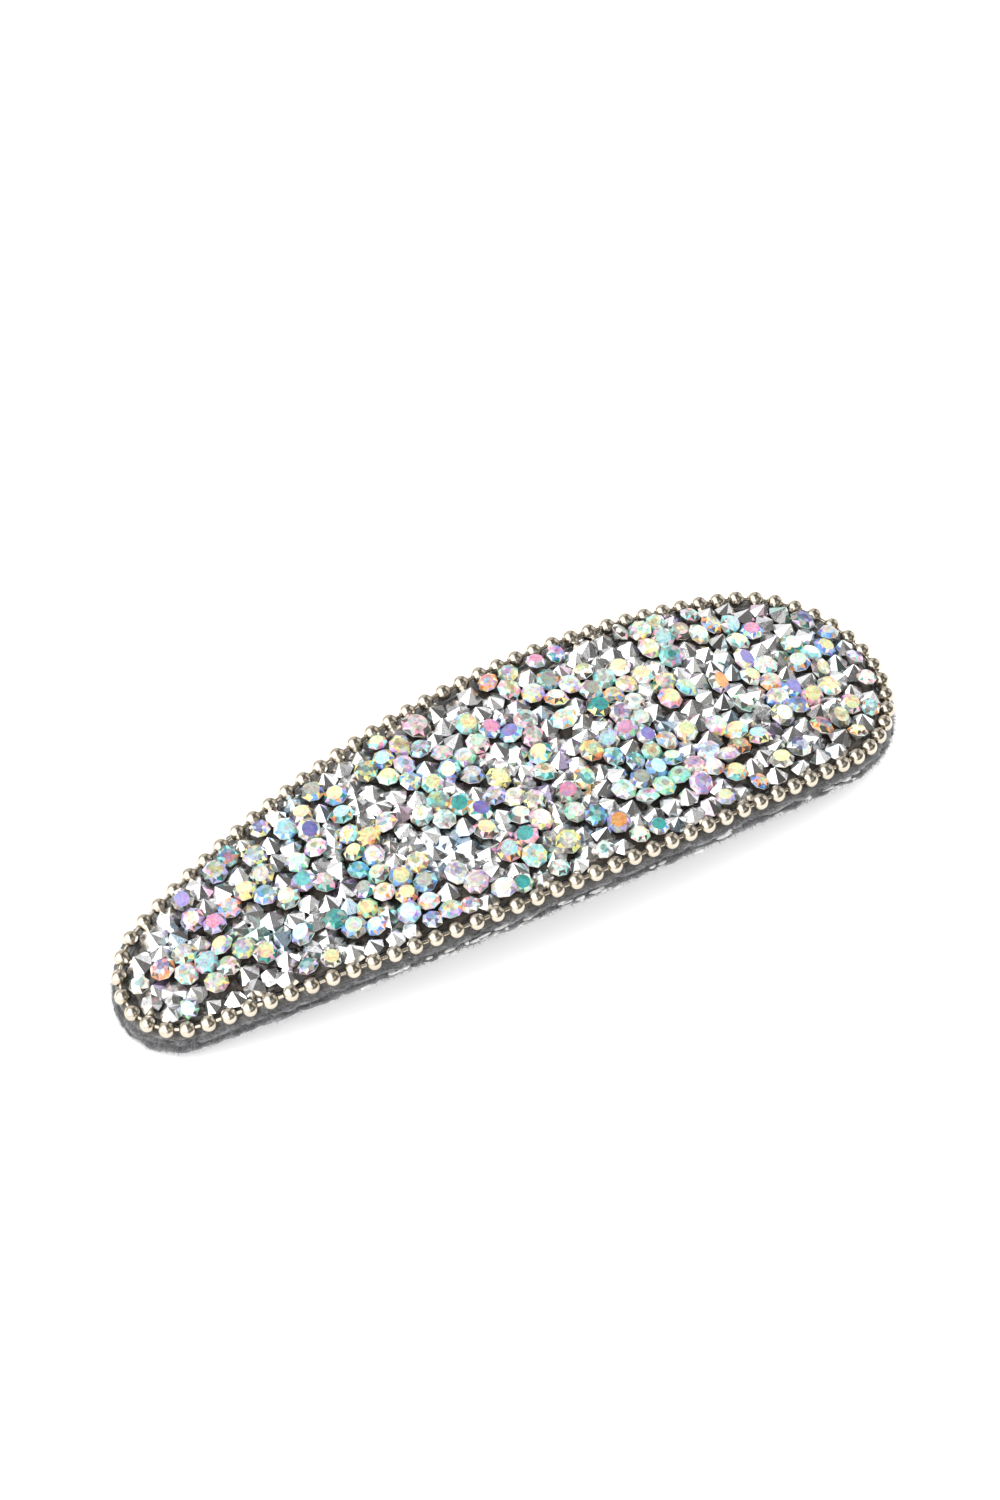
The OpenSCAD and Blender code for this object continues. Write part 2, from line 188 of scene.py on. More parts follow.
def felt_material():
    mat, tree, bsdf = material("grey_felt")
    coarse = noise_tex(tree, 700, 6, 0.7)
    fine = noise_tex(tree, 5200, 5, 0.7)
    base = ramp(tree, coarse.outputs["Fac"], [(0.35, (0.062, 0.062, 0.066)), (0.65, (0.23, 0.23, 0.235))])
    flecks = ramp(tree, fine.outputs["Fac"], [(0.38, (0.50, 0.50, 0.51)), (0.62, (1.45, 1.45, 1.45))])
    tree.links.new(multiply(tree, base, flecks), bsdf.inputs["Base Color"])
    bsdf.inputs["Roughness"].default_value = 0.95
    bsdf.inputs["Specular IOR Level"].default_value = 0.15
    bsdf.inputs["Sheen Weight"].default_value = 0.35
    bsdf.inputs["Sheen Roughness"].default_value = 0.5
    bump(tree, fine.outputs["Fac"], 0.9, 0.00012, bsdf)
    return mat


def fibre_material():
    mat, tree, bsdf = material("felt_fibre")
    info = node(tree, "ShaderNodeAttribute", attribute_name="shade")
    tree.links.new(info.outputs["Color"], bsdf.inputs["Base Color"])
    bsdf.inputs["Roughness"].default_value = 0.8
    bsdf.inputs["Specular IOR Level"].default_value = 0.2
    return mat


def steel_material():
    mat, tree, bsdf = material("spring_steel")
    tex = tree.nodes.new("ShaderNodeMapping")
    tex.inputs["Scale"].default_value = (60, 2600, 60)
    tree.links.new(coords(tree), tex.inputs["Vector"])
    grain = noise_tex(tree, 6, 5, 0.6, tex.outputs["Vector"])
    stain = noise_tex(tree, 160, 4, 0.5)
    colour = ramp(tree, stain.outputs["Fac"], [(0.3, (0.50, 0.50, 0.52)), (0.75, (0.68, 0.68, 0.69))])
    tree.links.new(colour, bsdf.inputs["Base Color"])
    vary_roughness(tree, grain.outputs["Fac"], 0.22, 0.42, bsdf)
    bsdf.inputs["Metallic"].default_value = 1
    bump(tree, grain.outputs["Fac"], 0.15, 0.00002, bsdf)
    return mat


def chain_material():
    mat, tree, bsdf = material("bead_chain")
    wear = noise_tex(tree, 900, 4, 0.6)
    colour = ramp(tree, wear.outputs["Fac"], [(0.3, (0.53, 0.47, 0.38)), (0.7, (0.63, 0.57, 0.47))])
    tree.links.new(colour, bsdf.inputs["Base Color"])
    vary_roughness(tree, wear.outputs["Fac"], 0.17, 0.27, bsdf)
    bsdf.inputs["Metallic"].default_value = 1
    return mat


def clear_glue_material(name, transmission):
    mat, tree, bsdf = material(name)
    cloud = noise_tex(tree, 1500, 3, 0.5)
    colour = ramp(tree, cloud.outputs["Fac"], [(0.3, (0.80, 0.80, 0.78)), (0.7, (0.95, 0.95, 0.94))])
    tree.links.new(colour, bsdf.inputs["Base Color"])
    bsdf.inputs["Transmission Weight"].default_value = transmission
    bsdf.inputs["Roughness"].default_value = 0.08
    bsdf.inputs["IOR"].default_value = 1.46
    bump(tree, cloud.outputs["Fac"], 1.0, 0.00015, bsdf)
    return mat


def bed_material():
    mat, tree, bsdf = material("bed_glue")
    patch = noise_tex(tree, 420, 5, 0.6)
    colour = ramp(tree, patch.outputs["Fac"], [
        (0.3, (0.016, 0.013, 0.011)), (0.5, (0.045, 0.037, 0.030)), (0.72, (0.14, 0.12, 0.095))])
    tree.links.new(colour, bsdf.inputs["Base Color"])
    bsdf.inputs["Roughness"].default_value = 0.25
    bsdf.inputs["Coat Weight"].default_value = 0.35
    bsdf.inputs["Coat Roughness"].default_value = 0.2
    bump(tree, noise_tex(tree, 1800, 3, 0.5).outputs["Fac"], 0.6, 0.0001, bsdf)
    return mat


def silver_stone_material():
    """Foil seen through scratched glass: facet tint from the mesh, with painted reflection on its darker
    facets, streaks and speckle from noise.
    """
    mat, tree, bsdf = material("silver_stone")
    facet_colour_with_painted_reflection = node(tree, "ShaderNodeAttribute", attribute_name="facet")
    streak = noise_tex(tree, 2600, 6, 0.75, distortion=1.2)
    marks = ramp(tree, streak.outputs["Fac"], [
        (0.30, (0.66, 0.68, 0.70)), (0.50, (1.0, 1.0, 1.0)), (0.75, (1.0, 1.0, 1.0))])
    tree.links.new(multiply(tree, facet_colour_with_painted_reflection.outputs["Color"], marks), bsdf.inputs["Base Color"])
    vary_roughness(tree, streak.outputs["Fac"], 0.22, 0.06, bsdf)
    bsdf.inputs["Metallic"].default_value = 1
    bump(tree, streak.outputs["Fac"], 0.25, 0.00004, bsdf)
    return mat


def ab_stone_material():
    """Rainbow-coated glass over foil: facet colours from the mesh, coating colours with painted reflection
    among them, under a clear, sharp coat.
    """
    mat, tree, bsdf = material("ab_stone")
    facet_colour_with_painted_reflection = node(tree, "ShaderNodeAttribute", attribute_name="facet")
    cloud = noise_tex(tree, 2100, 5, 0.7, distortion=1.0)
    marks = ramp(tree, cloud.outputs["Fac"], [(0.3, (0.62, 0.64, 0.64)), (0.55, (1.0, 1.0, 1.0))])
    film = noise_tex(tree, 950, 2, 0.5, distortion=1.6)
    rainbow = ramp(tree, film.outputs["Fac"], [
        (0.30, (0.80, 0.62, 1.0)), (0.40, (1.0, 0.68, 0.74)), (0.46, (1.0, 0.97, 0.68)),
        (0.52, (1.0, 1.0, 1.0)), (0.58, (0.80, 1.0, 0.90)), (0.64, (0.66, 0.88, 1.0)),
        (0.74, (0.90, 0.95, 0.66))])
    coated = multiply(tree, facet_colour_with_painted_reflection.outputs["Color"], rainbow)
    tree.links.new(multiply(tree, coated, marks), bsdf.inputs["Base Color"])
    bsdf.inputs["Metallic"].default_value = 0.3
    bsdf.inputs["Roughness"].default_value = 0.16
    bsdf.inputs["Coat Weight"].default_value = 0.8
    bsdf.inputs["Coat Roughness"].default_value = 0.02
    bsdf.inputs["Coat IOR"].default_value = 1.55
    return mat


FELT, FIBRE, STEEL = felt_material(), fibre_material(), steel_material()
CHAIN, BED = chain_material(), bed_material()
# the drops' glue lets only 0.45 through, so its whitish colour shows as painted glints; the thin glue stays
# clear
GLUE_WITH_PAINTED_GLINTS, THIN_GLUE = clear_glue_material("clear_glue", 0.45), clear_glue_material("thin_glue", 0.9)
SILVER, AB = silver_stone_material(), ab_stone_material()


def paint(obj, mat):
    obj.data.materials.clear()
    obj.data.materials.append(mat)


for name, mat in (("clip_frame", STEEL), ("rivets", STEEL), ("felt_glue", THIN_GLUE),
                  ("chain_glue", THIN_GLUE), ("chain_links", CHAIN)):
    for s in NODES[name].material_slots:
        s.link = "OBJECT"
        s.material = mat


# ---------------------------------------------------------------- reading the CAD's loose pieces
def islands(name):
    """The separate solids of a CAD node, each as an array of its distinct points."""
    mesh = NODES[name].data
    co = np.empty(len(mesh.vertices) * 3, np.float32)
    mesh.vertices.foreach_get("co", co)
    co = co.reshape(-1, 3)
    keys = {}
    merged = np.array([keys.setdefault(tuple(k), len(keys)) for k in np.round(co / 2e-6).astype(int)])
    parent = list(range(len(keys)))

    def find(i):
        while parent[i] != i:
            parent[i] = parent[parent[i]]
            i = parent[i]
        return i

    for e in mesh.edges:
        a, b = find(merged[e.vertices[0]]), find(merged[e.vertices[1]])
        if a != b:
            parent[a] = b
    points = np.zeros((len(keys), 3))
    points[merged] = co
    groups = {}
    for i in range(len(keys)):
        groups.setdefault(find(i), []).append(i)
    return [points[g] for g in groups.values()]


# ---------------------------------------------------------------- stones
def read_stone(points):
    """Girdle centre, outward axis from the culet, a direction to a girdle corner, and the radius."""
    centre = points.mean(0)
    culet = points[np.argmax(np.linalg.norm(points - centre, axis=1))]
    rest = points[np.linalg.norm(points - culet, axis=1) > 1e-6]
    axis = rest.mean(0) - culet
    axis /= np.linalg.norm(axis)
    flat = rest - culet
    radial = flat - np.outer(flat @ axis, axis)
    reach = np.linalg.norm(radial, axis=1)
    order = np.argsort(reach)
    girdle = rest[order[-8:]]
    middle = girdle.mean(0)
    corner = Vector(girdle[0] - middle).normalized()
    r = float(reach[order[-1]])
    lean = Matrix.Rotation(math.radians(noise.noise(Vector(middle) * 900) * LEAN), 3, corner)
    return Vector(middle), lean @ Vector(axis), corner, r


def put(middle, axis, corner, r, ring):
    """Places points given as (radius share, turn in degrees, height share)."""
    side = axis.cross(corner)
    out = []
    for share, turn, height in ring:
        a = math.radians(turn)
        out.append(middle + (corner * math.cos(a) + side * math.sin(a)) * (share * r) + axis * (height * r))
    return out


class Facets:
    """Collects flat facets with one colour each into a mesh."""

    def __init__(self):
        self.verts, self.faces, self.colours = [], [], []

    def add(self, points, colour):
        start = len(self.verts)
        self.verts += points
        self.faces.append(tuple(range(start, start + len(points))))
        self.colours.append(colour)

    def build(self, name):
        mesh = make_mesh(name, self.verts, self.faces)
        layer = mesh.attributes.new("facet", "FLOAT_COLOR", "CORNER")
        values = np.ones((len(mesh.loops), 4), np.float32)
        at = 0
        for face, colour in zip(self.faces, self.colours):
            values[at:at + len(face), :3] = colour
            at += len(face)
        layer.data.foreach_set("color", values.ravel())
        return mesh


# heights and table size as shares of the girdle radius
CROWN, PAVILION, TABLE, GIRDLE = 0.38, 0.95, 0.56, 0.035
LEAN = 24  # degrees of extra lean about one girdle corner, times a noise between -1 and 1
SPIKE_WIDER = 1.1
EASE_LIMIT = 0.6 * MM  # the furthest a stone moves from its CAD place
EASE_REACH, EASE_SHARE, EASE_ROUNDS = 1.3, 0.12, 20
CHAIN_TUCK, CHAIN_ROOM = 0.8, 0.6  # shares of the stone and ball radius kept clear of the chain
FULLER_FROM, FULLER_TO, FULLER_STEP, FULLER_ROUNDS = 1.18, 1.44, 0.02, 14
TOUCH_SHARE, MOST_TOUCHING = 1.02, 4


def point_stone(out, stone, rng):
    """A stone set point up: eight foil facets meet at the culet."""
    middle, axis, corner, r = stone
    r *= SPIKE_WIDER
    up = -axis
    turns = [45 * k for k in range(8)]
    top = put(middle, up, corner, r, [(1, t, -GIRDLE) for t in turns])
    low = put(middle, up, corner, r, [(1, t, GIRDLE) for t in turns])
    base = put(middle, up, corner, r, [(TABLE, t, -CROWN) for t in turns])
    tip = put(middle, up, corner, r, [(0, 0, PAVILION)])[0]
    tinted = rng.random() < 0.2
    hue = np.array(rng.choice([
        (0.62, 0.80, 0.95), (0.75, 0.66, 0.95), (0.66, 0.92, 0.84), (0.95, 0.76, 0.86)]))
    for k in range(8):
        n = (k + 1) % 8
        # greys below 1 are painted reflection: facets darkened as if they mirrored the dark room
        grey = rng.choice([1.0, 1.0, 1.0, 1.0, 0.85, 0.6])
        colour = np.array([grey, grey, grey * 1.01]).clip(0, 1)
        if tinted and rng.random() < 0.4:
            colour = colour * hue
        out.add([low[k], low[n], tip], colour)
        out.add([top[k], top[n], low[n], low[k]], (0.5, 0.5, 0.52))
        out.add([base[k], base[n], top[n], top[k]], (0.75, 0.76, 0.78))
    out.add(base[::-1], (0.4, 0.4, 0.42))


TABLES = [
    ((1.00, 0.93, 0.56), 30), ((0.80, 0.99, 0.82), 8), ((0.08, 0.44, 0.46), 8), ((0.28, 0.24, 0.62), 7),
    ((0.95, 0.44, 0.18), 6), ((0.84, 0.38, 0.60), 6), ((0.46, 0.48, 0.46), 6), ((1.0, 0.99, 0.95), 18),
    ((0.58, 0.86, 0.97), 11),
]
# crown facet colours: the coating's colours, and whites and dark greys as painted reflection
CROWN_COLOURS_AND_REFLECTIONS = [
    ((1.00, 1.00, 0.99), 22), ((0.38, 0.86, 0.90), 10), ((0.58, 0.50, 1.00), 9), ((1.00, 0.50, 0.68), 9),
    ((1.00, 0.88, 0.34), 8), ((0.36, 0.80, 0.52), 5), ((0.18, 0.38, 0.92), 7), ((0.94, 0.38, 0.15), 7),
    ((0.42, 0.42, 0.40), 16), ((0.11, 0.11, 0.10), 20), ((0.03, 0.30, 0.28), 5),
]


def weighted(rng, table):
    return np.array(rng.choices([c for c, _ in table], [w for _, w in table])[0])


def ab_stone(out, stone, rng):
    """A rainbow-coated stone set table up. Its facets show patches of the foil below in many colours, with
    white and dark facets painted in as reflection.
    """
    middle, axis, corner, r = stone
    turns = [45 * k for k in range(8)]
    halves = [45 * k + 22.5 for k in range(8)]
    flat_share = math.cos(math.radians(22.5))
    girdle = put(middle, axis, corner, r, [(1, t, GIRDLE) for t in turns])
    low = put(middle, axis, corner, r, [(1, t, -GIRDLE) for t in turns])
    tip = put(middle, axis, corner, r, [(0, 0, -PAVILION)])[0]
    share = TABLE * 1.16
    rim = put(middle, axis, corner, r, [(share, t, CROWN) for t in turns])
    rim_half = put(middle, axis, corner, r, [(share * 0.99, t, CROWN * 1.01) for t in halves])
    mid_share, mid_height = (1 + share) / 2 * flat_share * 1.02, (GIRDLE + CROWN) / 2 * 1.06
    mid = put(middle, axis, corner, r, [(mid_share, t, mid_height) for t in halves])
    inner = put(middle, axis, corner, r, [(share * 0.5, t + 10, CROWN * 1.015) for t in turns])
    heart = put(middle, axis, corner, r, [(0, 0, CROWN * 1.015)])[0]
    table, mate = weighted(rng, TABLES), weighted(rng, CROWN_COLOURS_AND_REFLECTIONS)
    busy = rng.random() < 0.5
    family = [weighted(rng, CROWN_COLOURS_AND_REFLECTIONS) for _ in range(4)]
    for k in range(8):
        n = (k + 1) % 8
        left, right = rng.choice(family), rng.choice(family)
        out.add([girdle[k], mid[k], rim[k]], left)
        out.add([rim[k], mid[k], rim_half[k]], left if rng.random() < 0.6 else rng.choice(family))
        out.add([mid[k], girdle[n], rim[n]], right)
        out.add([rim_half[k], mid[k], rim[n]], right if rng.random() < 0.6 else rng.choice(family))
        # the random dimming here and on the heart is painted reflection
        out.add([girdle[k], girdle[n], mid[k]], rng.choice(family) * rng.uniform(0.5, 1))
        ring = table * rng.uniform(0.85, 1.0)
        if busy:
            ring = table * 0.45 + rng.choice(family) * 0.55
        out.add([rim[k], rim_half[k], inner[k]], (ring * rng.uniform(0.85, 1.05)).clip(0, 1))
        out.add([rim_half[k], rim[n], inner[n], inner[k]], ring.clip(0, 1))
        if busy:
            heart_colour = (table * 0.6 + mate * 0.4) * rng.uniform(0.6, 1)
        else:
            heart_colour = table * rng.uniform(0.9, 1.0)
        out.add([inner[k], inner[n], heart], heart_colour.clip(0, 1))
        out.add([low[k], low[n], girdle[n], girdle[k]], (0.75, 0.76, 0.78))
        out.add([low[n], low[k], tip], np.array([0.7, 0.71, 0.74]) * rng.uniform(0.6, 1.2))


def inside(x, y):
    """Distance from the chain's line, inward."""
    if x > WIDE_X:
        return WIDE_R - math.hypot(x - WIDE_X, y)
    if x < NARROW_X:
        return NARROW_R - math.hypot(x - NARROW_X, y)
    return half_width(x, 0) - abs(y)


def settle(found):
    """Eases the stones into the gaps that the CAD leaves between them.

    Each one is then drawn fuller until it touches a few neighbours, and less so beside the chain.
    """
    flat = np.array([[m.x, m.y] for m, _, _, _ in found])
    home, size = flat.copy(), np.array([r for _, _, _, r in found])
    for _ in range(EASE_ROUNDS):
        gap = flat[:, None] - flat[None]
        far = np.linalg.norm(gap, axis=2) + np.eye(len(flat))
        want = EASE_REACH * (size[:, None] + size[None])
        push = np.clip(want - far, 0, None) * (1 - np.eye(len(flat)))
        flat += EASE_SHARE * (gap / far[:, :, None] * push[:, :, None]).sum(1)
        for i, (x, y) in enumerate(flat):
            room = half_width(min(max(x, -HALF_LENGTH), HALF_LENGTH), -BALL_R - size[i] * CHAIN_TUCK)
            flat[i, 1] = min(max(y, -room), room)
            end = HALF_LENGTH - BALL_R - size[i] * CHAIN_TUCK
            flat[i, 0] = min(max(x, -end), end)
        away = flat - home
        reach = np.linalg.norm(away, axis=1)
        flat = home + away * (np.minimum(reach, EASE_LIMIT) / np.maximum(reach, 1e-9))[:, None]
    gap = np.linalg.norm(flat[:, None] - flat[None], axis=2) + 10 * np.eye(len(flat))
    fuller = np.full(len(flat), FULLER_FROM)
    for _ in range(FULLER_ROUNDS):
        touching = (size[:, None] * fuller[:, None] + (size * fuller)[None] > TOUCH_SHARE * gap).sum(1)
        fuller = np.where((touching < MOST_TOUCHING) & (fuller < FULLER_TO), fuller + FULLER_STEP, fuller)
    out = []
    for (m, axis, corner, r), (x, y), grow in zip(found, flat, fuller):
        grow = min(grow, max(1.0, (inside(x, y) - CHAIN_ROOM * BALL_R) / (SPIKE_WIDER * r)))
        level = math.hypot(m.x, m.z - ARCH_Z)
        out.append((arch(x, y, level), axis, corner, r * grow))
    return out


def stones():
    rng = random.Random(7)
    sizes, kinds = ("tiny", "small", "medium", "large"), ("point_stones", "ab_stones")
    names = [f"{kind}_{size}" for size in sizes for kind in kinds]
    found = [(name, read_stone(points)) for name in names for points in islands(name)]
    settled = {name: [] for name in names}
    for (name, _), stone in zip(found, settle([stone for _, stone in found])):
        settled[name].append(stone)
    looks = {"point_stones": (point_stone, SILVER, "silver_stone"), "ab_stones": (ab_stone, AB, "ab_stone")}
    for name in names:
        build, mat, slot = looks[name.rpartition("_")[0]]
        out = Facets()
        for stone in settled[name]:
            build(out, stone, rng)
        obj = link("v_" + name, out.build("v_" + name), ROOT, [name])
        paint(obj, mat)


# ---------------------------------------------------------------- bead chain
def lathe(profile, turns):
    """Rings of a profile of (radius, height) turned round Z; a radius of 0 is not used."""
    verts, faces = [], []
    for r, z in profile:
        for k in range(turns):
            a = 2 * math.pi * k / turns
            verts.append(Vector((r * math.cos(a), r * math.sin(a), z)))
    for i in range(len(profile) - 1):
        for k in range(turns):
            n = (k + 1) % turns
            faces.append((i * turns + k, i * turns + n, (i + 1) * turns + n, (i + 1) * turns + k))
    return verts, faces


def chain():
    """Bored balls in place of the CAD's, each turned so that its bore follows the chain."""
    found = islands("chain_balls")
    centres = [Vector((p.max(0) + p.min(0)) / 2) for p in found]
    ordered = [centres.pop(0)]
    while centres:
        near = min(range(len(centres)), key=lambda i: (centres[i] - ordered[-1]).length)
        ordered.append(centres.pop(near))
    r, hole = BALL_R, 0.25 * MM
    start = math.asin(hole / r)
    steps = 20
    lip = math.cos(start) * r
    profile = [(hole * 0.8, -lip + 0.16 * MM), (hole * 0.97, -lip + 0.05 * MM), (hole, -lip + 0.015 * MM)]
    for i in range(steps + 1):
        a = start + 0.03 + (math.pi - 2 * start - 0.06) * i / steps
        profile.append((r * math.sin(a), -r * math.cos(a)))
    profile += [(hole, lip - 0.015 * MM), (hole * 0.97, lip - 0.05 * MM), (hole * 0.8, lip - 0.16 * MM)]
    ball_verts, ball_faces = lathe(profile, 28)
    verts, faces = [], []
    count = len(ordered)
    for i, c in enumerate(ordered):
        ahead = ordered[(i + 1) % count] - ordered[i - 1]
        turn = ahead.to_track_quat("Z", "Y").to_matrix()
        start_at = len(verts)
        verts += [c + turn @ v for v in ball_verts]
        faces += [tuple(start_at + v for v in f) for f in ball_faces]
    mesh = make_mesh("v_chain_balls", verts, faces, True)
    obj = link("v_chain_balls", mesh, ROOT, ["chain_balls"])
    paint(obj, CHAIN)


# ---------------------------------------------------------------- felt
def outward(x, y):
    """Plan direction away from the clip's middle line, which runs between the centres of its two ends."""
    away = Vector((x - min(max(x, NARROW_X), WIDE_X), y, 0))
    if away.length > 1e-9:
        away.normalize()
    return away


def ragged(x, y, seed, amount):
    """Outward wobble of a cut felt edge."""
    p = Vector((x * 900, y * 900, seed * 7.3))
    q = Vector((x * 3200, y * 3200, seed * 3.1))
    return amount * (0.65 * noise.noise(p) + 0.35 * noise.noise(q))


RAGGED = 0.5 * MM  # the most that the cut edge strays
SLOT_X0, SLOT_X1, SLOT_HALF, SLOT_CORNER = 19.2 * MM, 34.2 * MM, 5.7 * MM, 1.2 * MM
SLOT_CLEAR = 0.3 * MM  # band round the slot without fibres
EDGE_HAIRS, TOP_HAIRS, UNDER_HAIRS = 6500, 2600, 6000


def felt_sheet(name, low_r, seed):
    """A felt layer: gridded faces with soft hills, and a ragged, rounded edge wall."""
    along, across, wall = 300, 60, 5
    verts, faces = [], []
    top_grid, low_grid = [], []

    for side, grid in ((1, top_grid), (-1, low_grid)):
        for i in range(along + 1):
            theta = math.pi * i / along
            x0 = -FELT_HALF * math.cos(theta)
            column = []
            for j in range(across + 1):
                v = -1 + 2 * j / across
                v = math.copysign(1 - (1 - abs(v)) ** 1.4, v)
                w = half_width(x0, FELT_MARGIN)
                x, y = x0, v * w
                edge = max(abs(v), abs(x0) / FELT_HALF) if w > 1e-6 else 1
                out = ragged(x, y, seed, RAGGED) * (edge ** 12)
                away = outward(x, y)
                x, y = x + away.x * out, y + away.y * out
                hill = noise.noise(Vector((x * 500, y * 500, seed))) * 0.05 * MM
                fine = noise.noise(Vector((x * 2500, y * 2500, seed + 5))) * 0.03 * MM
                radius = low_r + (FELT_T if side > 0 else 0)
                droop = 0.06 * MM * edge ** 20
                column.append(len(verts))
                p = arch(x, y, radius) + arch_normal(x) * ((hill + fine) * 0.6 - side * droop)
                floor_z = low_r - LOWER_R + (0.06 * MM if side > 0 else 0.01 * MM)
                verts.append(Vector((p.x, p.y, max(p.z, floor_z))))
            grid.append(column)
    for i in range(along):
        for j in range(across):
            a, b, c, d = top_grid[i][j], top_grid[i + 1][j], top_grid[i + 1][j + 1], top_grid[i][j + 1]
            faces.append((a, b, c, d))
            a, b, c, d = low_grid[i][j], low_grid[i + 1][j], low_grid[i + 1][j + 1], low_grid[i][j + 1]
            faces.append((a, d, c, b))

    # the edge wall follows the border of both grids
    def border(grid):
        loop = [grid[i][0] for i in range(along + 1)]
        loop += [grid[along][j] for j in range(1, across + 1)]
        loop += [grid[i][across] for i in range(along - 1, -1, -1)]
        loop += [grid[0][j] for j in range(across - 1, 0, -1)]
        return loop

    tops, lows = border(top_grid), border(low_grid)
    rings = [tops]
    for step in range(1, wall):
        t = step / wall
        ring = []
        for a, b in zip(tops, lows):
            p = verts[a].lerp(verts[b], t)
            bulge = 0.07 * MM * math.sin(math.pi * t)
            rough = noise.noise(Vector((p.x * 4200, p.y * 4200, p.z * 4200 + seed))) * 0.06 * MM
            ring.append(len(verts))
            verts.append(p + outward(p.x, p.y) * (bulge + rough))
        rings.append(ring)
    rings.append(lows)
    for upper, lower in zip(rings, rings[1:]):
        count = len(upper)
        for k in range(count):
            n = (k + 1) % count
            faces.append((upper[k], lower[k], lower[n], upper[n]))
    mesh = make_mesh(name, verts, faces, True)
    bm = bmesh.new()
    bm.from_mesh(mesh)
    bmesh.ops.remove_doubles(bm, verts=bm.verts, dist=1e-6)
    bmesh.ops.recalc_face_normals(bm, faces=bm.faces)
    bm.to_mesh(mesh)
    bm.free()
    return mesh


def rounded_box(x0, x1, half, corner, z0, z1):
    """Box from x0 to x1 and z0 to z1 with rounded upright corners, to cut the slot with."""
    ring = []
    for cx, cy, start in ((x1 - corner, half - corner, 0), (x0 + corner, half - corner, 90),
                          (x0 + corner, -half + corner, 180), (x1 - corner, -half + corner, 270)):
        for k in range(7):
            a = math.radians(start + 15 * k)
            ring.append((cx + corner * math.cos(a), cy + corner * math.sin(a)))
    n = len(ring)
    verts = [(x, y, z0) for x, y in ring] + [(x, y, z1) for x, y in ring]
    faces = [tuple(range(n))[::-1], tuple(range(n, 2 * n))]
    faces += [(k, (k + 1) % n, n + (k + 1) % n, n + k) for k in range(n)]
    return make_mesh("slot_cutter", verts, faces)


def cut(obj, cutter_mesh):
    cutter = bpy.data.objects.new("slot_cutter", cutter_mesh)
    bpy.context.scene.collection.objects.link(cutter)
    mod = obj.modifiers.new("slot", "BOOLEAN")
    mod.object, mod.operation, mod.solver = cutter, "DIFFERENCE", "EXACT"
    bpy.context.view_layer.update()
    dg = bpy.context.evaluated_depsgraph_get()
    mesh = bpy.data.meshes.new_from_object(obj.evaluated_get(dg))
    obj.modifiers.clear()
    old = obj.data
    obj.data = mesh
    bpy.data.meshes.remove(old)
    bpy.data.objects.remove(cutter)


class Fibres:
    """Thin bent three-sided hairs in one mesh."""

    def __init__(self, seed):
        self.rng = random.Random(seed)
        self.verts, self.faces, self.shades = [], [], []

    def hair(self, root, direction, length, thick, curl):
        rng = self.rng
        d = direction.normalized()
        bend = Vector((rng.uniform(-1, 1), rng.uniform(-1, 1), rng.uniform(-1, 1)))
        bend = (bend - d * bend.dot(d)).normalized() * curl
        side = d.cross(bend).normalized()
        grey = rng.choice([0.05, 0.08, 0.12, 0.18, 0.28, 0.45])
        start = len(self.verts)
        steps = 3
        for i in range(steps + 1):
            t = i / steps
            p = root + d * (length * t) + bend * (length * t * t)
            width = thick * (1 - 0.6 * t)
            for k in range(3):
                a = 2 * math.pi * k / 3
                q = p + side * (width * math.cos(a)) + bend.normalized() * (width * math.sin(a))
                self.verts.append(Vector((q.x, q.y, max(q.z, 0.01 * MM))))
        for i in range(steps):
            for k in range(3):
                n = (k + 1) % 3
                a = start + i * 3
                self.faces.append((a + k, a + n, a + 3 + n, a + 3 + k))
                self.shades.append(grey)

    def build(self, name, body, slot):
        mesh = make_mesh(name, self.verts, self.faces, True)
        layer = mesh.attributes.new("shade", "FLOAT_COLOR", "CORNER")
        shades = np.repeat(np.array(self.shades, np.float32), 4)
        values = np.stack([shades, shades, shades * 1.02, np.ones_like(shades)], 1)
        layer.data.foreach_set("color", values.ravel())
        obj = link(name, mesh, body)
        paint(obj, FIBRE)
        return obj


def edge_point(table, s):
    """Plan point and outward direction at share s of the way round the outline in the table."""
    return table[int(s * len(table)) % len(table)]


def edge_table():
    """Evenly spaced plan points round the felt's outline, each with its outward direction."""
    rows = []
    steps, entries = 1500, 4000
    for i in range(steps):
        x = -FELT_HALF * math.cos(math.pi * (i + 0.5) / steps)
        rows.append((x, half_width(x, FELT_MARGIN)))
    line = [Vector((x, y, 0)) for x, y in rows] + [Vector((x, -y, 0)) for x, y in rows[::-1]]
    length = [0.0]
    for a, b in zip(line, line[1:] + line[:1]):
        length.append(length[-1] + (b - a).length)
    total = length[-1]
    out, j = [], 0
    for k in range(entries):
        want = total * k / entries
        while length[j + 1] < want:
            j += 1
        a, b = line[j % len(line)], line[(j + 1) % len(line)]
        p = a.lerp(b, (want - length[j]) / max(1e-12, length[j + 1] - length[j]))
        along = (b - a).normalized()
        away = Vector((-along.y, along.x, 0))
        if away.dot(p - Vector((min(max(p.x, NARROW_X), WIDE_X), 0, 0))) < 0:
            away = -away
        out.append((p, away))
    return out


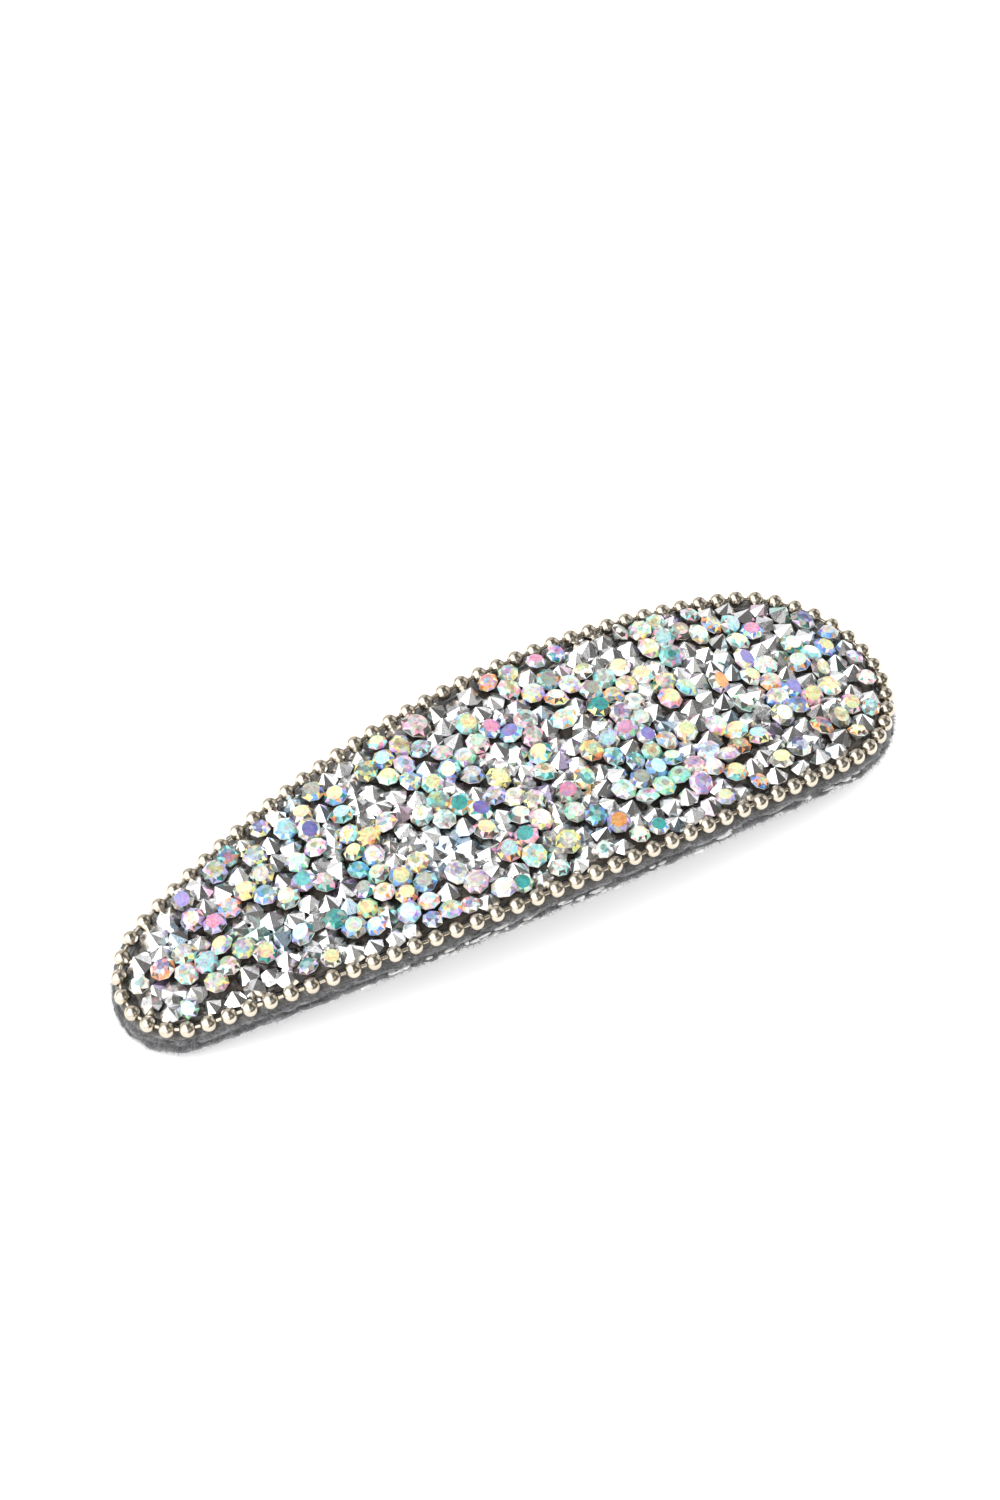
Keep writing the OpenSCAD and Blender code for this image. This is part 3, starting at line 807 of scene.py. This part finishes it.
def felts():
    upper = link("v_upper_felt", felt_sheet("v_upper_felt", UPPER_R, 2), ROOT, ["upper_felt"])
    lower = link("v_lower_felt", felt_sheet("v_lower_felt", LOWER_R, 9), ROOT, ["lower_felt"])
    cut(lower, rounded_box(SLOT_X0, SLOT_X1, SLOT_HALF, SLOT_CORNER, -1 * MM, 9 * MM))
    for obj in (upper, lower):
        obj.data.shade_smooth()
        paint(obj, FELT)
    outline = edge_table()
    for name, low_r, seed in (("upper_felt_fibres", UPPER_R, 31), ("lower_felt_fibres", LOWER_R, 47)):
        hairs = Fibres(seed)
        rng = hairs.rng
        for _ in range(EDGE_HAIRS):
            p, away = edge_point(outline, rng.random())
            level = rng.random()
            root = arch(p.x, p.y, low_r + FELT_T * level) - away * (0.08 * MM)
            n = arch_normal(p.x)
            along = Vector((-away.y, away.x, 0))
            d = away * rng.uniform(0.2, 1) + along * rng.uniform(-1.3, 1.3) + n * rng.uniform(-0.6, 0.6)
            hairs.hair(root, d, rng.uniform(0.15, 0.65) * MM,
                       rng.uniform(0.010, 0.020) * MM, rng.uniform(0.1, 0.7))
        if low_r == UPPER_R:
            for _ in range(TOP_HAIRS):
                p, away = edge_point(outline, rng.random())
                q = p - away * (rng.uniform(0.0, 0.75) * MM)
                n = arch_normal(q.x)
                flatd = Vector((rng.uniform(-1, 1), rng.uniform(-1, 1), 0)) + n * rng.uniform(0.0, 0.4)
                hairs.hair(arch(q.x, q.y, FELT_TOP_R - 0.01 * MM), flatd, rng.uniform(0.15, 0.4) * MM,
                           rng.uniform(0.008, 0.013) * MM, rng.uniform(0.1, 0.5))
        else:
            for _ in range(UNDER_HAIRS):
                x = rng.uniform(-FELT_HALF, FELT_HALF)
                w = half_width(x, FELT_MARGIN)
                y = rng.uniform(-w, w)
                if SLOT_X0 - SLOT_CLEAR < x < SLOT_X1 + SLOT_CLEAR and abs(y) < SLOT_HALF + SLOT_CLEAR:
                    continue
                n = arch_normal(x)
                flatd = Vector((rng.uniform(-1, 1), rng.uniform(-1, 1), 0)) - n * rng.uniform(0.0, 0.25)
                hairs.hair(arch(x, y, LOWER_R + 0.01 * MM), flatd, rng.uniform(0.2, 0.6) * MM,
                           rng.uniform(0.008, 0.013) * MM, rng.uniform(0.1, 0.6))
        obj = hairs.build(name, ROOT, "grey_felt")
        felt_area()


def felt_area():
    """Flat area of one felt, along the arch."""
    total, steps = 0.0, 400
    for i in range(steps):
        x0, x1 = -FELT_HALF + 2 * FELT_HALF * i / steps, -FELT_HALF + 2 * FELT_HALF * (i + 1) / steps
        span = ARCH_R * (math.asin(x1 / ARCH_R) - math.asin(x0 / ARCH_R))
        total += span * (half_width(x0, FELT_MARGIN) + half_width(x1, FELT_MARGIN))
    return total


# ---------------------------------------------------------------- glue
def bed():
    """Dark adhesive between the stones: a lumpy skin over the CAD's bed."""
    along, across = 400, 120
    inset = -BALL_R - 0.2 * MM
    verts, faces, grid = [], [], []
    half = HALF_LENGTH + inset
    for i in range(along + 1):
        x = -half * math.cos(math.pi * i / along)
        w = half_width(x, inset)
        column = []
        for j in range(across + 1):
            v = -1 + 2 * j / across
            y = v * w
            edge = max(abs(v), abs(x) / half)
            coarse = 0.26 * MM * noise.noise(Vector((x * 420, y * 420, 3)))
            fine = 0.14 * MM * noise.noise(Vector((x * 1500, y * 1500, 8)))
            lump = 0.34 * MM + coarse + fine
            lift = lump * (1 - edge ** 24) if edge < 1 else 0
            column.append(len(verts))
            verts.append(arch(x, y, BED_TOP_R) + arch_normal(x) * (lift - (0.4 * MM if edge >= 0.9999 else 0)))
        grid.append(column)
    for i in range(along):
        for j in range(across):
            faces.append((grid[i][j], grid[i + 1][j], grid[i + 1][j + 1], grid[i][j + 1]))
    mesh = make_mesh("v_stone_bed", verts, faces, True)
    obj = link("v_stone_bed", mesh, ROOT, ["stone_bed"])
    paint(obj, BED)


def blob(verts, faces, centre, size, seed):
    """A lumpy drop: a squashed ball with noise."""
    rows, cols = 8, 12
    start = len(verts)
    verts.append(centre + Vector((0, 0, size[2])))
    for i in range(1, rows):
        a = math.pi * i / rows
        for k in range(cols):
            b = 2 * math.pi * k / cols
            d = Vector((math.sin(a) * math.cos(b), math.sin(a) * math.sin(b), math.cos(a)))
            f = 1 + 0.35 * noise.noise(d * 1.7 + Vector((seed, 0, 0)))
            verts.append(centre + Vector((d.x * size[0] * f, d.y * size[1] * f, d.z * size[2] * f)))
    verts.append(centre - Vector((0, 0, size[2])))
    last = len(verts) - 1
    for k in range(cols):
        n = (k + 1) % cols
        faces.append((start, start + 1 + k, start + 1 + n))
        faces.append((last, last - cols + n, last - cols + k))
        for i in range(rows - 2):
            a = start + 1 + i * cols
            faces.append((a + k, a + cols + k, a + cols + n, a + n))


def glue_drops():
    """Clear glue squeezed out along the near side of the felts, in lumps and thin smears, made half opaque so
    that its whitish colour shows as painted glints.
    """
    rng = random.Random(19)
    drops = 64
    verts, faces = [], []
    for i in range(drops):
        if rng.random() < 0.3:
            x = rng.uniform(-26, 34) * MM
        else:
            x = rng.choice([rng.uniform(-14, 4), rng.uniform(12, 32)]) * MM
        y = -half_width(x, FELT_MARGIN)
        level = rng.choice([-0.05, 0.1, 0.3, 0.6, 0.75, 1.1]) * MM
        c = arch(x, y + rng.uniform(-0.08, 0.06) * MM, LOWER_R + level)
        size = (rng.uniform(0.15, 0.9) * MM, rng.uniform(0.10, 0.22) * MM, rng.uniform(0.08, 0.24) * MM)
        blob(verts, faces, c, size, i * 3.7)
    mesh = make_mesh("v_glue_beads", verts, faces, True)
    obj = link("v_glue_beads", mesh, ROOT, ["glue_beads"])
    paint(obj, GLUE_WITH_PAINTED_GLINTS)


# ---------------------------------------------------------------- steel tongue
FLEX_X, TIP_X, ROOT_X, ROOT_FLAT_X, BLADE_FLAT_X = 23.2 * MM, -33 * MM, 33 * MM, 26 * MM, 20.4 * MM
STEEL_T, TONGUE_GAP, TIP_CURL, TIP_CURL_LENGTH = 0.4 * MM, 0.3 * MM, 0.7 * MM, 5 * MM
ROOT_LOW_R = LOWER_R + FELT_T - STEEL_T
BLADE_LOW_R = LOWER_R - TONGUE_GAP - STEEL_T


def ease(t):
    t = min(1.0, max(0.0, t))
    return t * t * (3 - 2 * t)


def strip_low(x):
    """Radius of the strip's underside at station x: low along the blade, high at the root.

    The tip curls down.
    """
    curl = min(1.0, max(0.0, (TIP_X + TIP_CURL_LENGTH - x) / TIP_CURL_LENGTH))
    rise = ease((x - BLADE_FLAT_X) / (ROOT_FLAT_X - BLADE_FLAT_X))
    return BLADE_LOW_R + (ROOT_LOW_R - BLADE_LOW_R) * rise - TIP_CURL * curl**2


def tongue():
    """One strip of spring steel from the riveted root to the tip. It rises from the blade to the root around
    the flex line, as a fixed shape.
    """
    tip_r, root_half, corner = 2.5 * MM, 4.5 * MM, 2 * MM
    wide_from = FLEX_X + 2 * MM
    edge = 0.07 * MM

    def width(x):
        if x < TIP_X + tip_r:
            return math.sqrt(max(0.0, tip_r**2 - (x - TIP_X - tip_r) ** 2))
        if x > ROOT_X - corner:
            return root_half - corner + math.sqrt(max(0.0, corner**2 - (x - ROOT_X + corner) ** 2))
        if x > wide_from:
            return root_half
        return tip_r + (root_half - tip_r) * (x - TIP_X - tip_r) / (wide_from - TIP_X - tip_r)

    stations = [TIP_X + tip_r * (1 - math.cos(math.pi / 2 * k / 10)) for k in range(11)]
    stations += list(np.linspace(TIP_X + tip_r, ROOT_X - corner, 150)[1:])
    stations += [ROOT_X - corner + corner * math.sin(math.pi / 2 * k / 6) for k in range(1, 7)]
    verts, faces, rings = [], [], []
    across = 14
    for x in stations:
        w = max(width(x), 0.02 * MM)
        low = strip_low(x)
        section = []
        for j in range(across + 1):
            v = -1 + 2 * j / across
            section.append((v * (w - edge) if w > edge else v * w * 0.5, STEEL_T))
        section.append((w, STEEL_T - edge))
        section.append((w, edge))
        for j in range(across + 1):
            v = 1 - 2 * j / across
            section.append((v * (w - edge) if w > edge else v * w * 0.5, 0))
        section.append((-w, edge))
        section.append((-w, STEEL_T - edge))
        ring = []
        for y, t in section:
            ring.append(len(verts))
            scale = (low + t) / ARCH_R
            verts.append(Vector((x * scale, y, ARCH_Z + (low + t) * math.sqrt(1 - (x / ARCH_R) ** 2))))
        rings.append(ring)
    n = len(rings[0])
    for a, b in zip(rings, rings[1:]):
        for k in range(n):
            m = (k + 1) % n
            faces.append((a[k], a[m], b[m], b[k]))
    faces.append(tuple(rings[0][::-1]))
    faces.append(tuple(rings[-1]))
    mesh = make_mesh("v_tongue", verts, faces, True)
    obj = bpy.data.objects.new("v_tongue", mesh)
    bpy.context.scene.collection.objects.link(obj)
    paint(obj, STEEL)
    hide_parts("tongue_root", "clip_tongue")
    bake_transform(obj)


# ---------------------------------------------------------------- build
stones()
chain()
felts()
bed()
glue_drops()
tongue()


# ---------------------------------------------------------------- stage, light, camera
def floor():
    half = 6.0
    corners = [(-half, -half, 0), (half, -half, 0), (half, half, 0), (-half, half, 0)]
    mesh = make_mesh("floor", corners, [(0, 1, 2, 3)])
    obj = bpy.data.objects.new("floor", mesh)
    bpy.context.scene.collection.objects.link(obj)
    mat, _, bsdf = material("pale_floor")
    bsdf.inputs["Base Color"].default_value = (0.93, 0.93, 0.93, 1)
    bsdf.inputs["Roughness"].default_value = 0.9
    bsdf.inputs["Specular IOR Level"].default_value = 0.1
    bsdf.inputs["Emission Color"].default_value = (1, 1, 1, 1)
    bsdf.inputs["Emission Strength"].default_value = 0.18
    paint(obj, mat)


def lamp(name, place, target, size, power):
    data = bpy.data.lights.new(name, "AREA")
    data.shape = "RECTANGLE"
    data.size, data.size_y = size
    data.energy = power
    obj = bpy.data.objects.new(name, data)
    bpy.context.scene.collection.objects.link(obj)
    obj.location = Vector(place)
    obj.rotation_mode = "QUATERNION"
    obj.rotation_quaternion = (Vector(target) - Vector(place)).to_track_quat("-Z", "Y")


def world():
    """An even white dome for soft light, and a studio with softboxes and dark walls for reflections."""
    made = bpy.data.worlds.new("studio")
    bpy.context.scene.world = made
    made.use_nodes = True
    tree = made.node_tree
    for n in list(tree.nodes):
        tree.nodes.remove(n)
    out = tree.nodes.new("ShaderNodeOutputWorld")
    path = tree.nodes.new("ShaderNodeLightPath")
    place = tree.nodes.new("ShaderNodeTexCoord")
    dome = node(tree, "ShaderNodeBackground", Color=(1.0, 1.0, 1.0, 1), Strength=1.8)
    studio = node(tree, "ShaderNodeBackground", Strength=1.0)
    total = None
    for direction, inner, outer, colour in SOFTBOXES:
        dot = tree.nodes.new("ShaderNodeVectorMath")
        dot.operation = "DOT_PRODUCT"
        tree.links.new(place.outputs["Generated"], dot.inputs[0])
        dot.inputs[1].default_value = Vector(direction).normalized()
        reach = node(tree, "ShaderNodeMapRange", **{
            "From Min": math.cos(math.radians(outer)), "From Max": math.cos(math.radians(inner))})
        reach.interpolation_type = "SMOOTHSTEP"
        tree.links.new(dot.outputs["Value"], reach.inputs["Value"])
        glow = tree.nodes.new("ShaderNodeMix")
        glow.data_type = "RGBA"
        glow.blend_type = "ADD"
        tree.links.new(reach.outputs["Result"], glow.inputs["Factor"])
        if total is None:
            glow.inputs["A"].default_value = (*WALLS, 1)
        else:
            tree.links.new(total, glow.inputs["A"])
        glow.inputs["B"].default_value = (*colour, 1)
        total = glow.outputs["Result"]
    tree.links.new(total, studio.inputs["Color"])
    mix = tree.nodes.new("ShaderNodeMixShader")
    tree.links.new(path.outputs["Is Glossy Ray"], mix.inputs["Fac"])
    tree.links.new(dome.outputs["Background"], mix.inputs[1])
    tree.links.new(studio.outputs["Background"], mix.inputs[2])
    tree.links.new(mix.outputs["Shader"], out.inputs["Surface"])


WALLS = (0.14, 0.135, 0.128)
SOFTBOXES = [
    ((-0.75, 0.15, 0.62), 36, 44, (2.3, 2.3, 2.3)),
    ((-0.62, -0.55, 0.42), 25, 33, (1.6, 1.6, 1.62)),
    ((0.10, 0.90, 0.45), 24, 38, (0.75, 0.75, 0.77)),
    ((0.80, 0.10, 0.40), 16, 26, (1.0, 1.0, 1.03)),
    ((0.25, -0.75, 0.75), 8, 20, (0.6, 0.59, 0.57)),
]


def camera():
    azimuth, elevation, distance = math.radians(-29.83), math.radians(53.84), 0.4243
    target = Vector((3.0 * MM, 6.7 * MM, 5 * MM))
    flat = math.cos(elevation)
    back = Vector((math.sin(azimuth) * flat, -math.cos(azimuth) * flat, math.sin(elevation)))
    data = bpy.data.cameras.new("camera")
    data.lens, data.sensor_width = 108.0, 36.0
    data.clip_start, data.clip_end = 0.01, 50
    obj = bpy.data.objects.new("camera", data)
    bpy.context.scene.collection.objects.link(obj)
    obj.location = target + back * distance
    obj.rotation_mode = "QUATERNION"
    obj.rotation_quaternion = (-back).to_track_quat("-Z", "Y")
    bpy.context.scene.camera = obj


floor()
world()
camera()
lamp("key_softbox", (-0.35, 0.45, 0.7), (0, 0, 0), (0.5, 0.5), 0.3)
scene = bpy.context.scene
scene.view_settings.view_transform = "Standard"
scene.cycles.use_denoising = True
